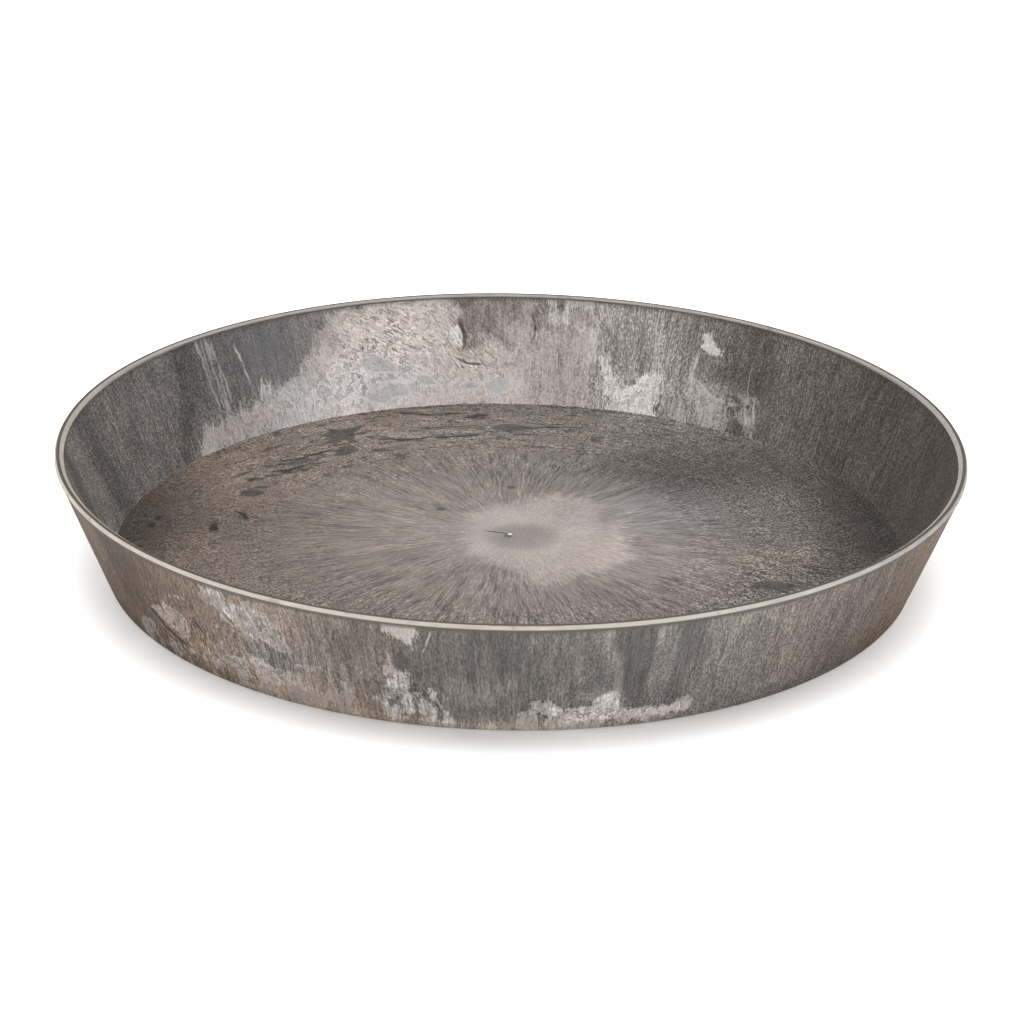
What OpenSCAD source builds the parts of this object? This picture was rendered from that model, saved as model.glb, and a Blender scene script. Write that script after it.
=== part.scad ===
// Round plant saucer: one moulded dish with a leaning wall and a bevelled rim.
// Its floor is gently domed, so that the dish stands on a ring under its edge.
// Millimetres, +Z up, origin on the ground at the centre of that ring.

/* [Overall] */
// Outer diameter over the rim
rim_d = 370; // [345:1:460]
// Height from the ground to the top of the rim
height = 51; // [38:1:80]
// Outer diameter at the ground, before the edge is rounded
base_d = 331; // [270:1:350]

/* [Wall and floor] */
// Thickness of the wall under the rim, square to its outer face
wall_t = 3.4; // [3:0.1:6]
// Thickness of the wall at the floor, square to its outer face
wall_base_t = 4.5; // [3:0.1:8]
// Thickness of the floor
floor_t = 3.5; // [3:0.1:6]
// Rise of the floor from its edge to its centre
floor_crown = 4.2; // [1:0.1:9]
// Gap between the ground and the edge of the floor's underside
foot_h = 0.7; // [0.5:0.1:3]
// Width of the ring that the dish stands on
foot_w = 6; // [4:0.5:14]

/* [Rim] */
// How far the lip stands out from the wall
lip_out = 0.3; // [0.1:0.1:1.2]
// Height of the lip's upright face
lip_h = 0.6; // [0.3:0.1:3]
// Width of the bevel outside the rim
outer_bevel_w = 0.8; // [0.3:0.1:1.4]
// Height of the bevel outside the rim
outer_bevel_h = 1.2; // [0.4:0.1:3]
// Width of the bevel inside the rim
inner_bevel_w = 1.7; // [0.4:0.1:2.2]
// Height of the bevel inside the rim
inner_bevel_h = 1.3; // [0.4:0.1:3]

/* [Rounded edges] */
// Radius inside, where the wall meets the floor
floor_round = 1; // [0.5:0.5:10]
// Radius outside, where the wall meets the ground
foot_round = 1.2; // [0.4:0.1:3]

/* [Gate mark] */
// Diameter of the dimple at the centre of the floor
dimple_d = 7; // [4:0.5:14]
// Depth of the dimple
dimple_depth = 0.35; // [0.15:0.05:0.8]
// Diameter of the nub in the dimple
nub_d = 1.8; // [1.2:0.1:3]
// Height of the nub above the bottom of the dimple
nub_h = 0.6; // [0.2:0.1:0.6]

/* [Hidden] */

// Smoothness of the turned faces and of the small rounds
turn_fn = 360;
round_fn = 96;
// Length of one facet along the wide, flat dome of the floor
dome_facet = 8;
// How far a cut runs past the face that it opens
overshoot = 1;
// How far a round bites into the faces that it joins, so that it meets them cleanly
bite = 0.01;

// Wall: its outer face runs from the ground to the shoulder under the lip
rim_r = rim_d / 2;
base_r = base_d / 2;
shoulder_r = rim_r - lip_out;
lip_bottom = height - outer_bevel_h - lip_h;
shoulder_z = lip_bottom - lip_out;
lean = atan2(shoulder_r - base_r, shoulder_z);

// Wall: its inner face runs from the edge of the floor to the bevel inside the rim
floor_edge_z = foot_h + floor_t;
floor_r = outer_r(floor_edge_z) - wall_base_t / cos(lean);
inner_top_z = height - inner_bevel_h;
inner_top_r = outer_r(inner_top_z) - wall_t / cos(lean);
inner_lean = atan2(inner_top_r - floor_r, inner_top_z - floor_edge_z);

// Floor: its upper and lower faces are domes about one centre
floor_top_z = floor_edge_z + floor_crown;
dome_r = cap_radius(floor_r, floor_crown);
dome_z = floor_top_z - dome_r;
under_r = dome_r - floor_t;
under_top_z = dome_z + under_r;
foot_inner_r = base_r - foot_w;

// Gate mark: dimple and nub are caps of balls on the axis
dimple_r = cap_radius(dimple_d / 2, dimple_depth);
dimple_z = floor_top_z - dimple_depth;
nub_r = cap_radius(nub_d / 2, nub_h);
nub_z = dimple_z + nub_h - nub_r;

// Directions out of the dish and square to its wall's faces and to the ground
to_outer_face = [cos(lean), -sin(lean)];
to_inner_face = [cos(inner_lean), -sin(inner_lean)];
to_ground = [0, -1];

// Radius of the wall's outer face and of its inner face at a height
function outer_r(z) = base_r + z * tan(lean);
function inner_r(z) = floor_r + (z - floor_edge_z) * tan(inner_lean);

// Radius of the ball whose cap has this half width and height
function cap_radius(half_w, h) = (half_w * half_w + h * h) / (2 * h);

// Height of the point that lies on the line r = r0 + z * tan(inner_lean), on the
// upper side of a circle of this radius about the centre of the floor's domes
function height_on_dome(r0, radius) =
    let (k = tan(inner_lean),
         a = 1 + k * k,
         b = r0 * k - dome_z,
         c = r0 * r0 + dome_z * dome_z - radius * radius)
    (-b + sqrt(b * b - a * c)) / a;

// Centre of the round inside, which touches the wall and the upper dome
floor_round_gap = floor_round - bite;
floor_round_r0 = inner_r(0) - floor_round_gap / cos(inner_lean);
floor_round_z = height_on_dome(floor_round_r0, dome_r + floor_round_gap);
floor_round_at = [floor_round_r0 + floor_round_z * tan(inner_lean), floor_round_z];
to_floor = ([0, dome_z] - floor_round_at) / norm([0, dome_z] - floor_round_at);

// Centre of the round outside, which touches the wall and the ground
foot_round_gap = foot_round - bite;
foot_round_at = [base_r - foot_round_gap / tan((90 + lean) / 2), foot_round_gap];

// Sliver between a sharp corner and the round that takes its place
module corner_sliver(centre, radius, to_a, to_b) {
    difference() {
        polygon([
            centre,
            centre + radius * to_a,
            centre + 2 * radius * (to_a + to_b),
            centre + radius * to_b
        ]);
        translate(centre) circle(radius, $fn = round_fn);
    }
}

// Disc of one of the floor's domes, with facets as long as dome_facet
module dome_disc(radius) {
    translate([0, dome_z]) circle(radius, $fn = 4 * ceil(PI * radius / (2 * dome_facet)));
}

// Half section of the dish as if it were solid
module outer_section() {
    difference() {
        polygon([
            [0, 0],
            [base_r, 0],
            [shoulder_r, shoulder_z],
            [rim_r, lip_bottom],
            [rim_r, height - outer_bevel_h],
            [rim_r - outer_bevel_w, height],
            [0, height]
        ]);
        corner_sliver(foot_round_at, foot_round, to_ground, to_outer_face);
    }
}

// Half section of the space above the floor
module cavity_section() {
    flare = 1 + overshoot / inner_bevel_h;
    difference() {
        polygon([
            [0, 0],
            [inner_r(0), 0],
            [inner_top_r, inner_top_z],
            [inner_top_r + flare * inner_bevel_w, inner_top_z + flare * inner_bevel_h],
            [0, inner_top_z + flare * inner_bevel_h]
        ]);
        dome_disc(dome_r);
        corner_sliver(floor_round_at, floor_round, to_floor, to_inner_face);
    }
}

// Half section of the hollow under the floor, inside the standing ring
module recess_section() {
    intersection() {
        polygon([
            [0, -overshoot],
            [foot_inner_r + overshoot, -overshoot],
            [foot_inner_r - under_top_z, under_top_z],
            [0, under_top_z]
        ]);
        dome_disc(under_r);
    }
}

// Half section of the dimple at the centre of the floor
module dimple_section() {
    translate([0, dimple_z + dimple_r]) circle(dimple_r, $fn = turn_fn);
}

// Half section of the nub that stands in the dimple
module nub_section() {
    intersection() {
        translate([0, nub_z]) circle(nub_r, $fn = round_fn);
        square([rim_r, height]);
    }
}

module saucer() {
    color([0.44, 0.42, 0.40])
    rotate_extrude($fn = turn_fn)
    union() {
        difference() {
            outer_section();
            cavity_section();
            recess_section();
            dimple_section();
        }
        nub_section();
    }
}

saucer();
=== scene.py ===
import math

import bpy
import numpy as np
from mathutils import Matrix, Vector, noise


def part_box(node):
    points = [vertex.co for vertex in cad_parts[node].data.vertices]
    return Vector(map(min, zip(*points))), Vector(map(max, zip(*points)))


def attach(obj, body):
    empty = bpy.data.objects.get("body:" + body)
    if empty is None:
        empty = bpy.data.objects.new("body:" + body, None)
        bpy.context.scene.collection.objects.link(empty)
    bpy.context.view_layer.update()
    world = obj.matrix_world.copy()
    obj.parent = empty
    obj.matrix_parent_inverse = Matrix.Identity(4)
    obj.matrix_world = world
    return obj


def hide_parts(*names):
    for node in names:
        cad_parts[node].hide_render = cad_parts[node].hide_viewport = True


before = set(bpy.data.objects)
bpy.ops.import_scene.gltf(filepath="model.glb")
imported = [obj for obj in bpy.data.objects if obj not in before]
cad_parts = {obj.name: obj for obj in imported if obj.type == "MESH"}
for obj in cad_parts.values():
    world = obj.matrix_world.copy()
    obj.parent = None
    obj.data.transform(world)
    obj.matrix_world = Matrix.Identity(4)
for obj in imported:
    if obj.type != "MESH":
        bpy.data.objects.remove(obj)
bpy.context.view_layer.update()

# Sizes of the dish in millimetres, as in the CAD model
MM = 0.001
low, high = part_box("saucer")
RIM_R = (high.x - low.x) / 2 / MM
HEIGHT = high.z / MM
BASE_R = 165.5
WALL_T = 3.4
WALL_BASE_T = 4.5
FLOOR_T = 3.5
FLOOR_CROWN = 4.2
FOOT_H = 0.7
FOOT_W = 6.0
LIP_OUT = 0.3
LIP_H = 0.6
OUTER_BEVEL = (0.8, 1.2)
INNER_BEVEL = (1.7, 1.3)
FLOOR_ROUND = 1.0
FOOT_ROUND = 1.2
DIMPLE_R, DIMPLE_DEPTH = 3.5, 0.35
NUB_R, NUB_H = 0.9, 0.6

# Radius of the small rounds on edges that the CAD model leaves sharp
EDGE_ROUND = 0.2

# Wall and floor worked out from those sizes
SHOULDER_R = RIM_R - LIP_OUT
LIP_BOTTOM = HEIGHT - OUTER_BEVEL[1] - LIP_H
SHOULDER_Z = LIP_BOTTOM - LIP_OUT
OUTER_SLOPE = (SHOULDER_R - BASE_R) / SHOULDER_Z
SLANT = math.hypot(1, OUTER_SLOPE)
FLOOR_EDGE_Z = FOOT_H + FLOOR_T
FLOOR_R = BASE_R + FLOOR_EDGE_Z * OUTER_SLOPE - WALL_BASE_T * SLANT
INNER_TOP_Z = HEIGHT - INNER_BEVEL[1]
INNER_TOP_R = BASE_R + INNER_TOP_Z * OUTER_SLOPE - WALL_T * SLANT
INNER_SLOPE = (INNER_TOP_R - FLOOR_R) / (INNER_TOP_Z - FLOOR_EDGE_Z)
FOOT_INNER_R = BASE_R - FOOT_W
DOME_R = (FLOOR_R ** 2 + FLOOR_CROWN ** 2) / (2 * FLOOR_CROWN)
DOME_Z = FLOOR_EDGE_Z + FLOOR_CROWN - DOME_R
UNDER_DOME_R = DOME_R - FLOOR_T

# Where the outline of the wall starts above the floor and ends below it
FLOOR_IN = FLOOR_R - 1.5 * FLOOR_ROUND
UNDER_IN = FOOT_INNER_R - FOOT_W

# Mesh: points round the rim, and the distance in mm from ring to ring, which is wider under the floor
AROUND = 640
RING_STEP = 1.9
UNDER_STEP = 10.0

# Rings below this radius have half the points, below half of it a quarter, but never fewer than these
HALF_BELOW = 0.6 * RIM_R
FEWEST_AROUND = AROUND // 32

# A ring smaller than this is one point on the axis
AXIS_R = 1e-6

# Radii of the rings in the gate mark
GATE_RINGS = [0.0, 0.25, 0.5, 0.7, 0.85, 0.95, 1.1, 1.4, 1.8, 2.3, 2.8, 3.2]

# Camera at the photograph's viewing angle
SENSOR_MM = 36
LENS_MM = 112.5
CAMERA_D = 1.32622
CAMERA_ELEVATION = math.radians(23.283)
CAMERA_YAW = math.radians(-0.032)
CAMERA_PITCH = math.radians(0.723)
CAMERA_ROLL = math.radians(-0.94)

# Ground and light. A lamp is (name, azimuth, elevation, strength, spread, the one thing that it lights
# or None for everything), with its angles in degrees.
GROUND_HALF = 30.0
GROUND_GREY = 0.9
GROUND_ROUGHNESS = 0.9
GROUND_GLOW = 0.12
SKY_STRENGTH = 0.45
LAMPS = [
    ("overhead", 90, 80, 1.3, 50, None),
    ("left", 150, 50, 0.68, 50, None),
    ("right", 30, 50, 0.68, 50, None),
    ("front", -90, 40, 0.7, 60, "dish"),
    ("ground_top", 90, 83, 2.3, 60, "ground"),
    ("ground_left", 180, 40, 0.9, 60, "ground"),
    ("ground_right", 0, 40, 0.9, 60, "ground"),
]

# Colours of the stone, as linear red, green and blue
NEUTRAL = (0.150, 0.139, 0.131)
WARM = (0.155, 0.114, 0.084)
COOL = (0.138, 0.137, 0.142)
ROSE = (0.163, 0.135, 0.125)
RUST = (0.168, 0.104, 0.064)
PALE = (0.660, 0.590, 0.562)
PALE_WARM = (0.520, 0.440, 0.375)
PALE_COOL = (0.630, 0.612, 0.618)
DARK = (0.080, 0.077, 0.077)
DARK_WARM = (0.062, 0.053, 0.046)
SLATE = (0.430, 0.424, 0.434)
# WHITE is white stone and also the painted highlight on the nub. The rim's light colours are its worn
# bevels with a painted highlight; RIM_DARK is its dark top and also its painted shadow lines.
WHITE = (0.820, 0.768, 0.742)
RIM_LIGHT = (0.455, 0.427, 0.404)
RIM_CREAM = (0.490, 0.440, 0.385)
RIM_DARK = (0.075, 0.065, 0.056)

# Surface of the stone
ROUGHNESS = 0.68
SPECULAR = 0.2
BUMP_STRENGTH = 0.4
BUMP_DEPTH = 0.1

# Sizes of the stone's noises in mm
FINE_SIZE = 0.7
GRAIN_SIZE = 0.45
TORN_SIZE = 3.2
NET_SIZE = 4
WARP_SIZE = 5
PATCHY_SIZE = 8
MOTTLE_SIZE = 14

# Noise lies mostly this close to 0.5, and closer where it is averaged or has more detail
NOISE_HALF = 0.25
FINE_HALF = 0.13
PATCHY_HALF = 0.22

# How far the warp bends patches and hairs, in mm, and brush strokes, in their widths and lengths
PATCH_BEND = 6
HAIR_BEND = 2
STROKE_BEND = 2.5

# Places along the flow that a streak is averaged over, in sizes of its noise
STREAK_STEPS = (-1.95, -1.2, -0.6, 0.0, 0.65, 1.25, 1.9)

# Drapes run up the walls, rays run out over the floor and hairs do both: how many fit in one
# radian, and their length in mm
DRAPES, DRAPE_LENGTH = 60, 25
RAYS, RAY_LENGTH = 15, 40
FLOOR_HAIRS, WALL_HAIRS, HAIR_LENGTH = 85.0, 250.0, 12

# Width and length in mm of a brush stroke on a wall, and of one on the floor that runs outwards or
# around. Those on the floor have these sizes at the radius FLOOR_STROKE_R.
STROKE_WIDTH, STROKE_LENGTH = 0.75, 4.2
OUTWARD_WIDTH, OUTWARD_LENGTH = 1.32, 10
AROUND_WIDTH, AROUND_LENGTH = 2.2, 10
FLOOR_STROKE_R = 120

# Strokes on the floor run outwards in front of this y, and around behind it
OUTWARD_Y = 20

# Parts of the surface
FLOOR, INNER, RIM, OUTER, UNDER = range(5)

# Marks are listed one by one. On a wall a place is an angle in degrees and a height in mm:
# 0 is to the right, 90 at the back, 180 to the left and -90 at the front.
# On the floor it is x and y in mm. The sides that can't be seen mirror those that can.
WALL_MM_PER_DEG = 3.05
WALL_MM_PER_Z = 1.08

# How far in mm from patches, from thin lines and from the edge of the floor's core distances are kept
MARK_REACH = 8.0
LINE_REACH = 2.8
CORE_REACH = 20.0

# Distance that stands for the inside of a solid patch
SOLID = 4.0

# Brightness along each wall: (angle, stops). Besides the stone's own tone it holds painted light and shade:
# part of the lightness towards the back of the inner wall is painted light, and part of the darkness at the
# outer wall's left and right ends is painted shade.
INNER_TONE = [
    (0, -0.75), (10, -0.75), (31, -0.45), (45, 0.27), (51, -0.15), (58, 0.45), (66, 1.3), (77, 1.45),
    (90, 1.1), (98, 0.8), (118, 0.95), (124, 0.85), (131, 0.5), (138, 0.3), (150, 0.15), (160, 0.15),
    (170, 0.1), (180, 0.2),
]
OUTER_TONE = [
    (-180, -1.2), (-165, -1.15), (-155, -1.55), (-148, -1.45), (-142, -1.0), (-130, -0.2), (-118, 0.2),
    (-108, 0.0), (-100, -0.6), (-90, -0.42), (-80, -0.25), (-72, -0.25), (-60, -0.25), (-50, -0.35),
    (-40, -0.75), (-25, -0.8), (0, -0.85),
]

# Warmth of the stone along each wall, from -1 for blue grey to 1 for brown and 2 for rust: (angle, warmth)
INNER_TINT = [
    (0, 0.4), (40, 0.25), (60, 0.1), (90, 0.2), (118, 0.1), (127, -0.8), (138, -0.6), (150, 0.0),
    (180, 0.1),
]
OUTER_TINT = [
    (-180, 1.9), (-150, 1.8), (-142, 1.2), (-125, 0.65), (-110, 0.4), (-95, 0.1), (-70, 0.05), (-55, 0.3),
    (-42, 0.7), (-32, 1.4), (-20, 1.9), (0, 1.9),
]

# Lighter and darker places: (x or angle, y or height, half width, half height, stops)
# The floor's two darkest places, at x -158 and 158 next to the wall, are painted shade.
FLOOR_TONE = [
    (41, 20, 5, 13, -0.45), (-158, 10, 22, 60, -1.6), (110, -45, 25, 15, -0.25), (58, 28, 25, 22, 0.32),
    (126, -26, 14, 12, -0.4), (89, -46, 12, 8, 0.15), (-118, 8, 25, 30, -0.25), (80, 95, 35, 25, -0.25),
    (158, 30, 30, 80, -1.95), (110, 90, 35, 35, -0.4), (-60, 125, 50, 25, 0.35), (0, 100, 60, 25, 0.2),
    (77, 135, 4, 8, 0.5), (120, -12, 9, 6, 0.4), (95, -45, 10, 8, -0.2), (-90, 20, 70, 70, 0.14),
    (0, -60, 90, 40, 0.1), (-6, -37, 14, 5, -0.3), (75, -15, 35, 35, 0.4), (-85, 52, 35, 25, 0.2),
    (70, 75, 35, 25, -0.73), (90, 20, 25, 25, -0.15), (-125, 15, 25, 20, -0.15), (52, -28, 20, 18, 0.15),
    (-40, 0, 28, 40, 0.08),
]
INNER_TONES = [
    (98, 34, 1.5, 6, 0.3), (184, 35, 3, 20, 0.2), (89.5, 45, 6, 9, -0.55), (83, 47, 4, 6, -0.25),
    (24, 12, 4, 7, 0.25), (47, 42, 1.2, 12, 0.2), (54, 28, 3, 12, -0.2), (15, 40, 1.2, 12, 0.25),
    (60.5, 20, 2.5, 8, 0.5), (57, 10, 3, 7, 0.25), (51.5, 12, 2.5, 8, -0.3), (69, 36, 4, 12, 0.2),
    (77, 12, 4, 10, 0.18), (82, 44, 5, 8, -0.3), (60, 23, 2.5, 7, 0.42), (56, 17, 2.5, 6, 0.5),
    (48.5, 22, 2.5, 8, -0.35), (64, 31, 2, 9, -0.2),
]
OUTER_TONES = [
    (-91, 1, 18, 5, 1.65), (-126, 12, 6, 7, 0.45), (-99, 5, 5, 5, 0.2), (-70, 1, 9, 4, 0.4),
    (-116, 3, 8, 8, 0.35), (-96, 25, 4, 30, -0.1), (-90.5, 35, 0.7, 20, -0.25), (-94.5, 35, 0.6, 20, -0.2),
    (-79.5, 30, 1, 14, -0.3), (-33, 8, 9, 6, -0.2), (-47, 25, 1, 20, -0.2), (-43.5, 25, 0.8, 20, -0.25),
    (-36, 30, 0.8, 16, -0.25), (-110, 37, 5, 10, -0.5), (-117, 8, 5, 6, 0.6), (-94, 18, 4, 8, 0.8),
    (-91, 39, 5, 9, -0.38), (-134, 11, 5, 7, 0.65), (-150, 14, 6, 10, 0.5), (-79, 23, 3, 6, -0.3),
]

# Darker disc round the gate mark, likewise, with a flat middle
GATE_DISC = [(5, -3, 14, 14, -0.5)]
DISC_POWER = 6

# Lighter and darker places on the walls with an outline: (stops, width of the soft edge in mm, corners)
INNER_SHADES = [
    (-0.55, 5, [(177, 55), (169.7, 55), (169.7, 30), (168.5, 15), (168, 0), (172.5, 0), (175, 25)]),
    (-0.55, 4, [(146.5, 55), (141, 55), (141.5, 40), (143, 28), (146, 20), (148.5, 12), (148.5, 0),
        (151, 0), (151, 12), (149, 22), (147, 30), (146, 40)]),
    (-0.15, 5, [(141, 55), (117.5, 55), (119, 45), (121, 36), (124, 29), (128, 24), (132, 25), (136, 22),
        (141, 18), (147.5, 17), (146, 24), (143, 30), (141.5, 40)]),
    (-0.15, 5, [(77, 55), (69, 55), (69, 28), (75, 26)]),
    (-0.2, 2, [(61, 32), (60, 22), (56.5, 20.5), (55.5, 25), (56, 31)]),
    (0.12, 6, [(65, 30), (65, 4), (50, 4), (50, 20), (56, 26)]),
]
OUTER_SHADES = [
    (-0.6, 3, [(-77.9, 55), (-73, 55), (-73.2, 30), (-73.7, 11), (-75.3, 11), (-76.1, 28), (-77.5, 42)]),
    (-0.45, 2.5, [(-70.2, 55), (-67, 55), (-67.8, 30), (-68.6, 11), (-70, 11), (-69.8, 30)]),
    (0.2, 3, [(-72.7, 52), (-70.4, 52), (-70.4, 20), (-72.7, 20)]),
    (0.45, 1.8, [(-79.3, 52), (-78.2, 52), (-77.6, 40), (-76.4, 28), (-75.7, 15), (-76.9, 15), (-77.8, 28),
        (-78.9, 41)]),
    (0.3, 1.6, [(-73.1, 52), (-71.9, 52), (-72.2, 34), (-72.9, 34)]),
    (0.15, 6, [(-66, 55), (-52, 55), (-52, 0), (-66, 0)]),
    (-0.4, 6, [(-149, 50), (-140, 50), (-142, 30), (-143, 16), (-149, 16)]),
    (0.5, 5, [(-156, 46), (-150, 48), (-149, 36), (-151, 28), (-154, 30)]),
    (-0.35, 3, [(-124, 27), (-117, 27), (-117, 14), (-121, 16), (-124, 20)]),
]

# Cooler places on the floor: (x, y, half width, half height, how much cooler)
FLOOR_COOL = [(70, 26, 32, 26, 0.6)]

# Places where the floor's stone is peeled, with painted highlights and shadows on the torn edges: (x, y,
# half width, half height, how much)
FLOOR_PEEL = [
    (112, -35, 35, 22, 0.9), (-132, 5, 20, 30, 0.6), (80, 118, 30, 14, 0.4), (-60, 100, 50, 40, 0.25),
]

# Pale patches: (how solid they are, corners). 8 is solid, and at 0 about half of one shows.
INNER_PALE = [
    (2.2, [(146.5, 3), (146, 10), (143.5, 16), (141.5, 13), (139, 17), (136, 16), (133, 19), (131, 24),
        (129.5, 20), (127, 22), (124, 24), (122, 3)]),
    (8, [(127, 3), (126, 18), (123, 29), (121, 34), (119.5, 40), (118, 47), (114, 49), (110, 52), (99, 52),
        (98.3, 44), (99.5, 36), (98, 27), (95.5, 27), (93, 31), (90, 29), (87, 26), (87, 3)]),
    (0.8, [(91, 36), (88, 42), (85, 38), (82, 46), (79, 51), (77, 40), (77.5, 20), (78, 3), (89, 3)]),
    (-2, [(98, 52), (90, 52), (77, 52), (77, 30), (98, 30)]),
    (-1.5, [(66, 3), (66, 18), (60, 22), (50, 20), (49, 3)]),
]
OUTER_PALE = [
    (-0.5, [(-147, 0), (-147, 8), (-144, 13), (-139, 9), (-135, 9), (-130, 8), (-126, 9), (-120, 12),
        (-117, 20), (-112, 22), (-110, 12), (-110, 0)]),
    (1.2, [(-141.5, 22), (-139, 26.5), (-136, 28), (-134, 25), (-133.3, 20), (-135, 15), (-138, 17.5)]),
    (1, [(-129.5, 10), (-127, 14), (-124, 17.5), (-120.5, 17), (-119, 13), (-122, 9), (-127, 8)]),
    (1.4, [(-127.5, 48), (-125.5, 48), (-123, 42), (-120.8, 33), (-121, 29), (-124, 30.5), (-126.5, 36),
        (-128.5, 41)]),
    (0.8, [(-122, 46), (-119.5, 46), (-118.8, 38), (-117, 32), (-116.8, 25), (-118.5, 24), (-120.5, 29),
        (-121, 36)]),
    (8, [(-105.4, 55), (-100.3, 55), (-100.6, 44), (-101.3, 39), (-102.3, 42), (-104, 45)]),
    (0.3, [(-104.5, 27), (-101.5, 27), (-101.5, 18), (-104, 14)]),
    (-1, [(-107, 2), (-106, 16), (-103, 20), (-98, 15), (-97, 2)]),
    (1.2, [(-89, 1), (-88, 8), (-87, 14), (-85, 16), (-83.3, 10), (-81.5, 11.5), (-79, 14.5), (-77.4, 17.5),
        (-76.5, 16), (-76.5, 9), (-78, 1)]),
    (4, [(-76.3, 3), (-76, 6.5), (-74, 9), (-72, 7.5), (-71.5, 3.5), (-74, 2.5)]),
    (4, [(-71.5, 6), (-70, 8.5), (-67, 10), (-66, 7.5), (-67, 4.5), (-70, 4)]),
]

# Brightness added to pale patches and pale lines: (angle, height, half width, half height, stops)
INNER_PALE_TONES = [
    (108, 30, 16, 40, 0.13), (140, 8, 10, 16, -0.7), (140, 36, 4, 16, -1.0), (119, 42, 3, 8, -0.4),
    (122, 30, 3, 12, -0.3), (84, 25, 8, 60, -0.25), (57, 10, 8, 15, -0.5), (90, 45, 6, 9, -0.35),
    (82, 44, 5, 8, -0.3), (52, 28, 2, 9, -1.0),
]
OUTER_PALE_TONES = [
    (-90, 25, 400, 400, -1.12), (-130, 25, 16, 40, -0.25), (-103, 47, 4, 8, 0.2), (-71, 6, 6, 6, 0.35),
    (-79, 14, 4, 6, 0.1), (-123.5, 37, 5, 10, -0.12), (-119, 31, 4, 8, -0.25), (-145, 8, 10, 20, -0.3),
    (-122, 5, 14, 10, -0.05), (-91, 1, 20, 5, 0.55), (-122, 36, 7, 12, -0.25), (-103, 12, 5, 14, -0.65),
    (-82, 6, 5, 6, -0.2),
]

# Outline of the pale core of the floor
FLOOR_CORE = [
    (-18, -8), (-16, 8), (-16, 20), (-8, 26), (0, 32), (8, 40), (18, 44), (30, 40), (40, 33), (45, 20),
    (45, 8), (48, -8), (50, -22), (40, -32), (30, -38), (18, -49), (12, -50), (6, -38), (-4, -33),
    (-14, -24),
]

# Smooth dark patches, as solid as the number says
OUTER_DARK = [(8, [(-103.4, 33), (-102.4, 36), (-101.3, 33), (-101.4, 28), (-102.3, 26), (-103.2, 28)])]
FLOOR_DARK = [
    (8, [(-84, 129), (-79, 125), (-73, 128), (-66, 132), (-69, 125), (-71, 119), (-70, 112), (-67, 107),
        (-72, 106), (-75, 113), (-78, 104), (-82, 109), (-80, 114), (-86, 117), (-81, 121)]),
    (8, [(-76, 102), (-70, 103), (-67, 97), (-73, 90), (-79, 89), (-77, 95)]),
    (8, [(-98, 82), (-94, 86), (-88, 88), (-87, 84), (-95, 79)]),
    (8, [(97, -43), (101, -40), (109, -40), (117, -42), (121, -44), (113, -47.5), (104, -48.5),
        (98, -46.5)]),
]

# Dark spots on the floor: (x, y, half width, half height)
FLOOR_SPOTS = [
    (-110, 45, 5, 4), (-106, 52, 4, 2), (-110, 62, 4, 2), (-103, 66, 4, 2), (-97, 70, 4, 2),
    (-91, 73, 3, 1.8), (-106, 78, 3, 1.8), (-100, 80, 3, 1.8), (-86, 91, 5, 2.2), (-63, 115, 2.5, 1.8),
    (-57, 112, 3, 1.8), (-48, 111, 3.5, 2.2), (-41, 110, 3, 1.8), (-31, 114, 3.5, 3), (-24, 117, 3, 2.2),
    (-17, 119, 4, 2), (-38, 127, 2, 1.8), (-32, 127, 2, 1.8), (-26, 128, 2, 1.8), (-48, 149, 6, 1.8),
    (-40, 146, 5, 1.8), (-32, 147, 4, 2.5), (-16, 143, 5, 2.5), (-13, 147, 3, 2), (-1, 129, 8, 4.5),
    (5, 128, 5, 3), (18, 131, 4, 1.8), (26, 126, 3, 1.8), (-105, 119, 2, 1.8), (-148, 17, 2.2, 5),
    (-123, 8, 1.8, 5), (-155, -6, 3, 1.8), (-112, 20, 1.8, 5), (0, 52, 1.8, 1.8), (-29, 26, 2.2, 2),
    (70, 106, 1.8, 3), (74, 106, 1.8, 3.5), (82, 107, 1.8, 3),
]

# Dark spot at the foot of the nub, likewise
NUB_SHADOW = (-0.8, -2.2, 2.0, 2.0)

# Blue-grey islands in the pale stone of the inner wall, as solid as the number says
INNER_SLATE = [
    (0.9, [(115, 26), (112, 29), (108.5, 24), (108, 20), (112, 21)]),
    (0.9, [(113, 16), (110, 17), (107, 14), (106, 8), (109, 9), (112, 7), (114, 11)]),
    (0.7, [(107.5, 19), (103, 17), (101.5, 13), (104, 13.5)]),
    (8, [(98.7, 12.5), (97, 14.5), (95, 14), (95.5, 10.5), (98, 10)]),
    (8, [(94.6, 12), (93, 15), (90.5, 16.5), (90.5, 10.5), (92.5, 9)]),
    (0, [(121, 32), (119, 34), (118.5, 29), (120.5, 27)]),
]

# White patches, likewise. Below 0 only flecks of one show.
INNER_WHITE = [
    (8, [(60.7, 43.2), (60, 43), (59, 39.5), (57, 36.8), (57.4, 35.4), (61.3, 35.6), (60.6, 38.5)]),
    (1.5, [(76.4, 25), (74.6, 23), (72.8, 14), (71.6, 6), (73.6, 4), (75.4, 13)]),
    (1.5, [(71.6, 12), (70.4, 19), (68, 24), (65.8, 22), (66.6, 14), (67.6, 6), (69, 3), (71, 6)]),
    (0.6, [(75.5, 15), (72.5, 14), (71, 17), (66, 17), (66, 4), (75, 4)]),
    (1, [(99.3, 36), (98.2, 39), (97.4, 30), (98.8, 29)]),
    (-0.4, [(87, 47), (84, 50), (79, 50), (77, 45), (78, 36), (82, 37), (85, 40)]),
    (-0.35, [(80, 50), (77.5, 50), (75.5, 40), (75, 26), (77, 26), (78.5, 38)]),
]
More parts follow.
